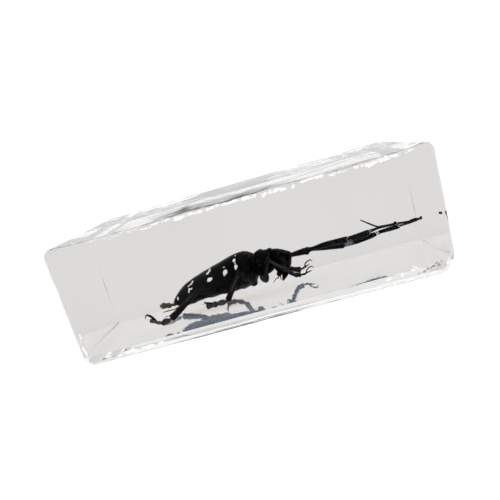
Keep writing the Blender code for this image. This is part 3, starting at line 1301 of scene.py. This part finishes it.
def head():
    rings = []
    for z in np.linspace(5.5, 10.72, 60):
        f, b, w = HEAD_FRONT(z), HEAD_BACK(z), HEAD_W(z)
        mid = (f + b) / 2
        ring = []
        for q in range(80):
            a = 2 * pi * q / 80
            cx, sy = cos(a), sin(a)
            x = mid + (f - mid) * abs(cx) ** 0.78 * (1 if cx > 0 else -1)
            y = w * abs(sy) ** 0.78 * (1 if sy > 0 else -1)
            zz = z
            if cx > 0:
                # the groove down the middle of the face, and the knobs that carry the antennae
                x -= 0.22 * max(0.0, 1 - (y / 0.35) ** 2) * max(0.0, min(1.0, (z - 7.0) / 1.5))
                q2 = ((abs(y) - 1.35) / 0.85) ** 2 + ((z - 8.95) / 0.75) ** 2
                if q2 < 1:
                    x += 0.34 * (1 - q2)
            ring.append((x, y, zz))
        rings.append(ring)
    part = loft(rings)
    part.rough(0.035, 0.4, 84)
    return part


piece("abdomen_and_hind_thorax", [venter()], M_VENTER, local=True)
piece("prothorax", [prothorax()], M_BODY, local=True)
piece("head", [head(),
               blob((10.95, 0, 6.05), (0.55, 1.25, 0.55), turn=10, rough=0.03, seed=86),   # clypeus
               blob((10.75, 0, 5.35), (0.35, 0.85, 0.45), turn=15, warm=0.4),              # labrum
               blob((9.2, 0.75, 5.6), (0.55, 0.5, 0.6), rough=0.05, seed=87, warm=0.3),
               blob((9.2, -0.75, 5.6), (0.55, 0.5, 0.6), rough=0.05, seed=88, warm=0.3),
               blob((8.2, 0, 8.7), (1.1, 2.2, 2.0))],                                       # neck
      M_BODY, local=True)
for s, side in ((1, "left"), (-1, "right")):
    piece("eye_" + side, [
        blob((10.9, s * 2.12, 8.05), (0.78, 0.42, 0.98), turn=-12, rings=22, sides=32),
        blob((10.25, s * 2.02, 8.95), (0.42, 0.36, 0.55), turn=20, rings=18, sides=28),
        blob((10.35, s * 1.78, 9.6), (0.58, 0.40, 0.38), turn=35, rings=18, sides=28),
    ], M_EYE, local=True)
    piece("mandible_" + side, [
        sweep([(10.7, s * 1.0, 6.3), (10.45, s * 1.12, 5.4), (9.95, s * 0.75, 4.6), (9.5, s * 0.22, 3.9)],
              [(0.75, 0.42), (0.62, 0.36), (0.40, 0.26), (0.09, 0.07)], ref=(1, 0, 0), rough=0.02, seed=90 + s),
    ], M_BODY, local=True)
    palp = [(9.1, s * 0.95, 5.35), (8.8, s * 1.0, 4.85), (8.3, s * 0.9, 4.75), (7.5, s * 0.35 - 0.05, 4.1)]
    if s > 0:
        palp = [(9.3, 0.95, 5.3), (8.9, 1.1, 4.8), (8.9, 1.0, 4.35), (9.15, 0.8, 3.95)]
    piece("palp_" + side, [
        sweep(palp, [0.10, 0.10, 0.085, 0.075], sides=10, warm=0.5),
        blob(palp[1], (0.15, 0.14, 0.15), warm=0.5), blob(palp[2], (0.13, 0.12, 0.13), warm=0.5),
    ], M_LEG, local=True)

# the small shield between the bases of the wing cases
piece("scutellum", [blob((4.2, 0, 10.74), (0.80, 0.62, 0.26), turn=-14, rough=0.03, seed=92, down=0.35)],
      M_BODY, local=True)


# ------------------------------------------------------------------ beetle: legs

def foot_joint(a, b, thick, wide, up=(0, 0, 1), lobes=False, down=0.0, warm=0.0, pad=0.6, seed=0):
    """One joint of a foot, narrow at a and broad at b, browner underneath. A lobed one is split."""
    a, b, up = np.array(a, float), np.array(b, float), np.array(up, float)
    t = (b - a) / np.linalg.norm(b - a)
    across = np.cross(up, t)
    across /= np.linalg.norm(across)
    k0, k1 = thick
    w0, w1 = wide
    out = []
    if not lobes:
        m = a * 0.45 + b * 0.55
        out.append(sweep([a, m, b], [(k0 * 0.42, w0 * 0.45), (k0 * 0.3 + k1 * 0.80, w0 * 0.3 + w1 * 0.80), (k1 * 0.80, w1 * 0.80)],
                         ref=up, sides=20, per=7, ends=(0.7, 0.9), down=down, warm=warm))
    else:
        for s in (1, -1):
            m = a * 0.5 + b * 0.5 + across * s * w1 * 0.38
            e = b + across * s * w1 * 0.55
            out.append(sweep([a, m, e], [(k0, w0 * 0.7), ((k0 + k1) * 0.5, w1 * 0.5), (k1, w1 * 0.5)], ref=up,
                             sides=18, per=5, ends=(0.6, 0.7), down=down, warm=warm))
    u = up - t * (up @ t)
    u /= np.linalg.norm(u)
    for n, part in enumerate(out):
        low = (part.v - (a + b) / 2) @ u
        part.warm = np.clip(part.warm + pad * np.clip(-low / k1 + 0.1, 0, 1), 0, 1)
        part.rough(0.06, 0.30, seed + 7 * n)
        part.rough(0.03, 0.14, seed + 7 * n + 3)
    return out


def leg(name, coxa, femur, tibia, joints, thin, downs=(0.12, 0.15), warms=(0.0, 0.1), foot=(0.3, 0.5, 0.6),
        ref=(0.3, 0, 1), seed=0, hip=None):
    """A leg in the row frame. femur and tibia: (points, radii). joints: (a, b, thick, wide, lobes).
    thin: (points, radii) of the claw joint, the claws and any bristles. foot: down, warm, pad."""
    first = np.array(femur[0][0], float) - np.array(coxa, float)
    first /= np.linalg.norm(first)
    base = np.array(coxa, float)
    parts = [sweep([base - first * 0.55 + (0, 0, 0.35), base, base + first * 0.85], [(0.55, 0.62), (0.72, 0.70), (0.42, 0.40)],
                   ref=ref, sides=24, per=8, ends=(0.8, 0.7), down=0.22, rough=0.10, seed=seed)]
    parts[0].rough(0.05, 0.22, seed + 4)
    if hip:
        parts.append(sweep(hip[0], hip[1], ref=(1, 0, 0), sides=24, per=8, ends=(0.7, 0.8), down=0.45, warm=0.5, rough=0.10,
                           seed=seed + 5).rough(0.05, 0.25, seed + 6))
    parts.append(sweep([coxa] + femur[0], [(0.42, 0.40)] + [(r, r * 0.88) for r in femur[1]], ref=ref, sides=22,
                       down=downs[0], warm=warms[0], rough=0.03, seed=seed + 1))
    parts.append(sweep(tibia[0], [(r, r * 0.9) for r in tibia[1]], ref=ref, sides=20, ends=(0.9, 0.4),
                       down=downs[1], warm=warms[1], rough=0.035, seed=seed + 2))
    r = tibia[1][0] * 1.12
    parts.append(blob(tibia[0][0], (r, r, r), down=downs[0], rough=0.02, seed=seed + 3))
    # spurs at the end of the shin
    tip, before = np.array(tibia[0][-1], float), np.array(tibia[0][-2], float)
    t = (tip - before) / np.linalg.norm(tip - before)
    side = np.cross(t, (0, 0, 1))
    side /= np.linalg.norm(side)
    for s in (1, -1):
        root = tip + side * s * tibia[1][-1] * 0.6
        parts.append(sweep([root, root + t * 0.26 + side * s * 0.08, root + t * 0.42 + side * s * 0.10],
                           [0.09, 0.06, 0.015], sides=8, warm=0.6))
    pads = []
    for n, (a, b, thick, wide, lobes) in enumerate(joints):
        pads += foot_joint(a, b, thick, wide, (0, 0, 1), lobes, foot[0] * (1.0 if n == 0 else 0.4), foot[1] * (0.2 if n == 0 else 1.0),
                            foot[2], seed + 10 * n)
    for pts, radii in thin:
        parts.append(sweep(pts, radii, sides=12, ends=(0.8, 0.9), warm=foot[1] * 0.5))
    piece(name.replace("leg", "foot"), pads, M_FOOT_FRONT if name.startswith("front") else M_FOOT)
    return piece(name, parts, M_LEG)


leg("hind_leg_right", (-6.3, -1.0, 5.0),
    ([(-8.39, -2.2, 5.25), (-10.4, -3.4, 5.85), (-12.58, -4.6, 6.63)], [0.62, 0.70, 0.44]),
    ([(-12.93, -4.8, 6.82), (-14.26, -6.2, 6.17), (-16.29, -8.2, 4.98), (-18.37, -10.2, 3.91)], [0.38, 0.50, 0.64, 0.72]),
    [((-18.75, -10.55, 3.74), (-20.26, -11.30, 3.50), (0.48, 0.66), (0.40, 0.60), False),
     ((-20.40, -11.35, 3.62), (-21.25, -11.70, 3.92), (0.20, 0.40), (0.25, 0.50), False),
     ((-21.33, -11.80, 4.15), (-22.30, -12.10, 4.66), (0.26, 0.40), (0.32, 0.58), True)],
    [([(-21.30, -11.80, 4.30), (-21.69, -12.00, 5.02), (-22.08, -12.20, 5.63), (-22.53, -12.40, 6.02)], [0.18, 0.26, 0.25, 0.19]),
     ([(-22.52, -12.40, 6.05), (-22.86, -12.50, 5.98), (-23.14, -12.52, 5.34)], [0.15, 0.12, 0.03]),
     ([(-22.50, -12.35, 6.02), (-22.80, -12.10, 6.02), (-23.06, -12.00, 5.60)], [0.13, 0.10, 0.03])],
    foot=(0.12, 0.6, 0.8), seed=100)
leg("mid_leg_right", (-1.6, -0.9, 4.9),
    ([(-2.2, -2.2, 5.3), (-2.88, -4.1, 6.8), (-3.32, -5.5, 8.3)], [0.56, 0.62, 0.44]),
    ([(-3.45, -5.8, 8.5), (-4.63, -5.7, 7.1), (-6.0, -5.4, 5.31), (-7.24, -5.0, 3.61)], [0.36, 0.46, 0.58, 0.64]),
    [((-7.55, -4.80, 3.34), (-9.40, -4.18, 3.24), (0.44, 0.60), (0.38, 0.58), False),
     ((-9.55, -4.12, 3.22), (-10.58, -3.82, 3.18), (0.40, 0.64), (0.36, 0.66), False),
     ((-10.66, -3.77, 3.20), (-11.70, -3.42, 3.22), (0.46, 0.68), (0.44, 0.76), True)],
    [([(-10.9, -3.65, 3.60), (-11.5, -3.40, 3.72), (-12.16, -3.10, 3.90)], [0.16, 0.19, 0.20]),
     ([(-12.14, -3.10, 3.93), (-12.30, -2.90, 4.12), (-12.42, -2.80, 4.20)], [0.12, 0.09, 0.03]),
     ([(-12.14, -3.14, 3.90), (-12.36, -3.30, 3.86), (-12.54, -3.40, 3.66)], [0.12, 0.09, 0.03])],
    downs=(0.12, 0.0), warms=(0, 0.25), foot=(0.55, 0.15, 0.2), seed=120)
leg("front_leg_right", (0.9, -1.5, 5.8),
    ([(1.2, -3.0, 6.5), (1.75, -4.6, 8.0), (2.5, -5.5, 9.4)], [0.52, 0.55, 0.38]),
    ([(2.65, -5.7, 9.62), (3.41, -6.0, 8.59), (4.71, -6.2, 7.38), (6.06, -6.4, 6.40)], [0.30, 0.36, 0.42, 0.48]),
    [((6.12, -6.42, 6.50), (6.98, -6.32, 6.50), (0.32, 0.44), (0.30, 0.44), False),
     ((6.96, -6.30, 6.26), (8.16, -6.20, 5.84), (0.42, 0.60), (0.38, 0.58), True)],
    [([(7.9, -6.2, 5.95), (8.57, -6.15, 5.91), (9.40, -6.10, 6.13)], [0.16, 0.19, 0.20]),
     ([(9.37, -6.02, 6.14), (9.78, -5.92, 6.24), (10.33, -5.80, 6.46)], [0.15, 0.12, 0.03]),
     ([(9.32, -6.2, 6.2), (9.42, -6.38, 6.72), (9.95, -6.50, 7.11), (10.62, -6.60, 7.28), (10.92, -6.60, 6.84)],
      [0.14, 0.13, 0.12, 0.10, 0.03])],
    downs=(0.1, 0.22), warms=(0, 0.35), foot=(0.0, 0.15, 0.1), seed=140,
    hip=([(0.9, -2.1, 6.9), (0.8, -2.2, 6.1), (0.95, -2.3, 5.35), (1.1, -2.3, 4.95)], [(0.75, 0.7), (0.92, 0.75), (0.88, 0.7), (0.60, 0.50)]))
leg("front_leg_left", (0.9, 1.3, 5.8),
    ([(1.4, 2.8, 6.6), (2.2, 4.4, 7.4), (3.2, 5.4, 7.7)], [0.52, 0.55, 0.40]),
    ([(3.4, 5.5, 7.6), (4.3, 5.8, 6.3), (5.15, 6.1, 5.1), (5.75, 6.35, 4.25)], [0.32, 0.38, 0.42, 0.45]),
    [((5.70, 6.40, 4.22), (6.42, 6.50, 3.45), (0.36, 0.50), (0.36, 0.50), False),
     ((6.48, 6.50, 3.34), (7.15, 6.50, 3.00), (0.38, 0.52), (0.40, 0.60), True),
     ((7.10, 6.50, 3.00), (7.85, 6.50, 2.86), (0.36, 0.46), (0.40, 0.58), True)],
    [([(7.6, 6.5, 2.95), (8.71, 6.40, 2.79), (9.36, 6.30, 3.03)], [0.18, 0.22, 0.20]),
     ([(9.31, 6.30, 2.99), (9.99, 6.20, 3.11), (10.55, 6.10, 3.24)], [0.16, 0.13, 0.03]),
     ([(9.25, 6.34, 3.06), (9.41, 6.50, 3.43), (9.95, 6.60, 3.85), (10.68, 6.70, 3.97), (11.02, 6.70, 3.48)],
      [0.14, 0.13, 0.12, 0.11, 0.03])],
    downs=(0.25, 0.35), warms=(0, 0.3), foot=(0.6, 0.5, 0.2), seed=160)
leg("mid_leg_left", (-2.0, 2.4, 5.0),
    ([(-2.4, 4.4, 6.0), (-2.9, 6.4, 7.2), (-3.3, 7.6, 7.6)], [0.56, 0.62, 0.44]),
    ([(-3.45, 7.9, 7.6), (-4.1, 9.5, 6.3), (-4.8, 11.1, 5.0), (-5.2, 12.0, 4.15)], [0.36, 0.46, 0.58, 0.62]),
    [((-5.35, 12.1, 4.0), (-6.85, 12.15, 3.15), (0.42, 0.56), (0.38, 0.56), False),
     ((-6.95, 12.15, 3.10), (-8.05, 12.15, 2.90), (0.40, 0.60), (0.36, 0.62), False),
     ((-8.10, 12.15, 2.92), (-9.20, 12.10, 3.02), (0.42, 0.62), (0.42, 0.70), True)],
    [([(-8.7, 12.1, 3.3), (-9.35, 12.05, 3.55), (-9.6, 12.0, 4.05)], [0.17, 0.20, 0.19]),
     ([(-9.58, 12.0, 4.0), (-9.75, 11.8, 4.5), (-9.55, 11.7, 4.9)], [0.14, 0.11, 0.03]),
     ([(-9.60, 12.05, 4.0), (-9.85, 12.3, 4.4), (-9.75, 12.4, 4.8)], [0.14, 0.11, 0.03])],
    downs=(0.5, 0.5), warms=(0, 0.2), foot=(0.8, 0.3, 0.2), seed=180)
leg("hind_leg_left", (-6.3, 3.2, 5.1),
    ([(-8.2, 5.2, 5.8), (-10.2, 7.0, 6.6), (-12.0, 8.3, 7.0)], [0.62, 0.68, 0.46]),
    ([(-12.3, 8.6, 6.95), (-13.6, 10.2, 5.5), (-15.6, 11.5, 4.2), (-19.6, 11.9, 3.0)], [0.42, 0.55, 0.66, 0.66]),
    [((-20.0, 11.7, 3.05), (-21.25, 11.8, 3.15), (0.22, 0.36), (0.24, 0.42), False),
     ((-21.35, 11.80, 3.13), (-22.42, 12.00, 3.22), (0.42, 0.66), (0.36, 0.64), False),
     ((-22.46, 12.00, 3.24), (-23.45, 12.20, 3.44), (0.48, 0.68), (0.42, 0.72), True)],
    [([(-23.0, 12.1, 3.5), (-23.5, 12.2, 3.52), (-23.88, 12.20, 3.53)], [0.17, 0.20, 0.18]),
     ([(-23.83, 12.20, 3.53), (-23.98, 12.15, 3.75), (-23.88, 12.10, 4.02)], [0.13, 0.10, 0.03]),
     ([(-23.83, 12.20, 3.50), (-24.10, 12.25, 3.35), (-24.22, 12.30, 3.05)], [0.13, 0.10, 0.03]),
     ([(-19.9, 11.95, 2.35), (-20.98, 12.00, 2.05), (-22.02, 12.00, 2.04), (-22.96, 12.00, 2.04), (-23.84, 12.00, 2.02)],
      [0.12, 0.11, 0.12, 0.11, 0.05])],
    downs=(0.5, 0.5), warms=(0, 0.2), foot=(0.4, 0.7, 1.0), seed=200)


# painted highlights: pale lines along the shins' outer edges, where their ridges catch the light
M_SHIN_HIGHLIGHT = hair_and_highlight_streaks("painted_shin_highlight", (0.010, 0.010, 0.010), (0.095, 0.092, 0.088), 7000.0)
piece("shin_highlight_right", [
    sweep([(-13.6, -6.05, 6.62), (-14.5, -6.95, 6.22), (-15.6, -8.05, 5.60), (-16.5, -8.95, 5.08)], [0.03, 0.07, 0.075, 0.03], sides=10, rough=0.03, seed=221),
    sweep([(-4.0, -6.2, 7.95), (-4.8, -6.2, 6.98), (-5.6, -6.1, 5.95), (-6.2, -5.95, 5.15)], [0.03, 0.075, 0.075, 0.03], sides=10, rough=0.03, seed=222),
    sweep([(3.3, -6.35, 8.85), (4.4, -6.58, 7.80), (5.5, -6.78, 6.98)], [0.03, 0.06, 0.03], sides=10, rough=0.02, seed=223),
], M_SHIN_HIGHLIGHT)


# ------------------------------------------------------------------ beetle: antennae

def antenna(name, scape, joints, knobs, seed):
    """joints: (points, radii, length share of the pale sleeve, how pale it is)."""
    parts = [sweep(scape[0], scape[1], sides=20, ends=(0.9, 0.35), down=0.1, rough=0.04, seed=seed)]
    bands = []
    for k, (pts, radii, share, pale) in enumerate(joints):
        parts.append(sweep(pts, radii, sides=18, per=8, ends=(0.8, 0.4), down=0.05, rough=0.022, seed=seed + 2 + k))
        if not share:
            continue
        # the pale sleeve at the base of the joint, ragged at its far end
        P, R = smooth_path(pts, 12), smooth_path([(r, r) for r in radii], 12)
        cut = max(4, int(len(P) * share))
        grown = [max(r[0] + 0.020, 0.02) for r in R[:cut]]
        grown[-1] = R[cut - 1][0] - 0.05
        sleeve = sweep([tuple(p) for p in P[:cut]], grown, sides=22, per=1, ends=(0.5, 0.1),
                       down=[pale] * (cut - cut // 3) + [pale * 0.6] * (cut // 3 - 1) + [0.0])
        sleeve.rough(0.03, 0.2, seed + 40 + k)
        bands.append(sleeve)
    for c, r in knobs:
        parts.append(blob(c, (r, r, r), rough=0.05, seed=seed + 60))
    piece(name, parts, M_LEG)
    piece(name + "_bands", bands, M_BAND)


antenna("antenna_right",
        ([(6.3, -3.0, 8.85), (7.35, -3.5, 8.78), (9.00, -4.3, 8.92), (10.55, -5.2, 8.95)], [0.36, 0.44, 0.60, 0.70]),
        [([(10.7, -5.35, 8.86), (11.1, -5.55, 9.06)], [0.34, 0.34], 0, 0),
         ([(10.98, -5.5, 9.05), (12.29, -6.3, 9.28), (14.47, -7.8, 9.58), (18.19, -9.9, 9.70)], [0.36, 0.44, 0.54, 0.60], 0.2, 0.2),
         ([(18.25, -9.95, 9.69), (20.18, -10.4, 9.81), (22.39, -10.3, 9.95)], [0.42, 0.52, 0.54], 0.34, 0.30),
         ([(22.45, -10.2, 10.06), (23.63, -9.4, 10.06), (24.71, -8.4, 10.04), (26.44, -6.5, 9.75), (28.07, -4.8, 9.49)],
          [0.34, 0.28, 0.24, 0.25, 0.28], 0.2, 0.35),
         ([(28.45, -4.4, 9.45), (29.91, -3.2, 9.11), (31.26, -2.1, 8.82)], [0.22, 0.22, 0.24], 0.14, 0.5),
         ([(31.2, -2.1, 8.88), (32.21, -1.4, 8.80), (32.99, -0.8, 8.71), (33.51, -0.4, 8.70), (33.95, 0.0, 8.76)],
          [0.20, 0.36, 0.33, 0.17, 0.20], 0, 0),
         ([(33.93, 0.5, 8.62), (32.12, 1.6, 8.44), (30.39, 2.2, 8.49), (29.0, 2.6, 8.66)], [0.14, 0.15, 0.16, 0.17], 0, 0),
         ([(28.9, 2.6, 8.66), (27.45, 2.8, 8.71), (26.26, 3.0, 8.79)], [0.15, 0.17, 0.18], 0, 0),
         ([(26.2, 3.0, 8.80), (25.6, 3.05, 8.92), (25.00, 3.1, 9.26)], [0.15, 0.16, 0.17], 0, 0),
         ([(24.97, 3.1, 9.28), (23.75, 3.4, 10.21)], [0.16, 0.17], 0, 0),
         ([(23.72, 3.4, 10.23), (22.66, 3.6, 11.09)], [0.15, 0.11], 0, 0)],
        [((28.31, -4.6, 9.62), 0.32), ((33.95, 0.0, 8.78), 0.26), ((10.35, -5.25, 8.55), 0.36)], 300)
antenna("antenna_left",
        ([(6.6, -1.7, 8.72), (7.51, -0.95, 8.54), (9.11, 0.2, 8.42), (10.80, 1.3, 8.26)], [0.36, 0.42, 0.56, 0.66]),
        [([(10.9, 1.36, 8.44), (11.2, 1.52, 8.36)], [0.34, 0.34], 0, 0),
         ([(11.15, 1.5, 8.36), (12.39, 2.6, 7.92), (14.69, 4.6, 7.31), (18.06, 7.2, 6.49)], [0.38, 0.46, 0.56, 0.64], 0.2, 0.4),
         ([(18.25, 7.3, 6.52), (21.26, 9.0, 6.34), (24.32, 9.9, 6.50), (25.5, 10.0, 6.63)], [0.46, 0.58, 0.58, 0.46], 0.28, 0.42),
         ([(25.5, 10.0, 6.70), (26.64, 9.6, 6.86), (28.40, 7.9, 7.13), (29.95, 5.8, 7.47)], [0.40, 0.40, 0.46, 0.48], 0.34, 1.0),
         ([(30.0, 5.7, 7.52), (30.61, 5.0, 7.62), (31.81, 2.9, 7.96), (32.7, 1.4, 8.28)], [0.22, 0.20, 0.22, 0.25], 0.22, 0.8),
         ([(32.7, 1.4, 8.28), (33.3, 0.2, 8.55), (33.75, -1.2, 8.72)], [0.24, 0.22, 0.20], 0, 0),
         ([(33.75, -1.3, 8.74), (32.7, -2.6, 8.88), (31.0, -3.4, 9.05)], [0.16, 0.17, 0.15], 0, 0)],
        [((33.8, -1.3, 8.74), 0.22)], 400)


# ------------------------------------------------------------------ stage and light

def floor_material():
    mat, nt, out = nodes_of("pale_floor")
    sh = nt.nodes.new("ShaderNodeBsdfPrincipled")
    sh.inputs["Base Color"].default_value = (0.14, 0.14, 0.14, 1.0)
    sh.inputs["Roughness"].default_value = 0.9
    sh.inputs["Specular IOR Level"].default_value = 0.0
    sh.inputs["Emission Color"].default_value = (1.0, 1.0, 1.0, 1.0)
    sh.inputs["Emission Strength"].default_value = 1.06
    nt.links.new(sh.outputs[0], out.inputs["Surface"])
    return mat


floor = mesh_object(
    "floor",
    [(-6000, -6000, -0.06), (6000, -6000, -0.06), (6000, 6000, -0.06), (-6000, 6000, -0.06)],
    [(0, 1, 2, 3)],
    STAGE,
    smooth=False,
)
floor.data.materials.append(floor_material())

world = bpy.data.worlds.new("studio")
bpy.context.scene.world = world
world.use_nodes = True
bg = world.node_tree.nodes["Background"]
bg.inputs["Color"].default_value = (1.0, 1.0, 1.0, 1.0)
# A white room, with more light from the side that the block is looked at from. Along the foot of
# the far wall the room is greyer, with one dark place: both show only as reflections in the top.
wn, wl = world.node_tree.nodes, world.node_tree.links


def ramp_of(value, low, high, start, end):
    node = wn.new("ShaderNodeMapRange")
    node.interpolation_type = "SMOOTHSTEP"
    for name, v in (("From Min", low), ("From Max", high), ("To Min", start), ("To Max", end)):
        node.inputs[name].default_value = v
    wl.new(value, node.inputs["Value"])
    return node.outputs["Result"]


def combine(kind, a, b):
    node = wn.new("ShaderNodeMath")
    node.operation = kind
    for k, v in enumerate((a, b)):
        if isinstance(v, float):
            node.inputs[k].default_value = v
        else:
            wl.new(v, node.inputs[k])
    return node.outputs[0]


def between(fac, a, b):
    """a + (b - a) * fac"""
    return combine("ADD", a, combine("MULTIPLY", combine("SUBTRACT", b, a), fac))


sky = wn.new("ShaderNodeTexCoord")
axes = wn.new("ShaderNodeSeparateXYZ")
wl.new(sky.outputs["Generated"], axes.inputs[0])
room = ramp_of(axes.outputs["Y"], 0.1, -1.0, 1.12, 1.75)
dark = combine("MULTIPLY", ramp_of(axes.outputs["X"], -0.225, -0.165, 0.0, 1.0),
               ramp_of(axes.outputs["X"], -0.040, 0.020, 1.0, 0.0))
foot = between(dark, 0.80, 0.02)
middle = between(ramp_of(axes.outputs["Z"], 0.070, 0.080, 0.0, 1.0), foot, 0.92)
far_wall = between(ramp_of(axes.outputs["Z"], 0.096, 0.118, 0.0, 1.0), middle, 1.13)
light = between(ramp_of(axes.outputs["Y"], 0.80, 0.92, 0.0, 1.0), room, far_wall)
seen = wn.new("ShaderNodeLightPath")
wl.new(between(seen.outputs["Is Camera Ray"], light, 1.2), bg.inputs["Strength"])


def sun(name, direction, strength, angle):
    data = bpy.data.lights.new(name, "SUN")
    data.energy = strength
    data.angle = radians(angle)
    obj = bpy.data.objects.new(name, data)
    bpy.context.scene.collection.objects.link(obj)
    obj.rotation_euler = Vector(direction).to_track_quat("-Z", "Y").to_euler()
    return obj


sun("soft_top_light", (0.15, 0.25, -1.0), 0.75, 60)

scene = bpy.context.scene
scene.view_settings.view_transform = "Standard"
scene.view_settings.look = "None"
scene.cycles.max_bounces = 24
scene.cycles.transmission_bounces = 24
scene.cycles.glossy_bounces = 16
scene.cycles.transparent_max_bounces = 24
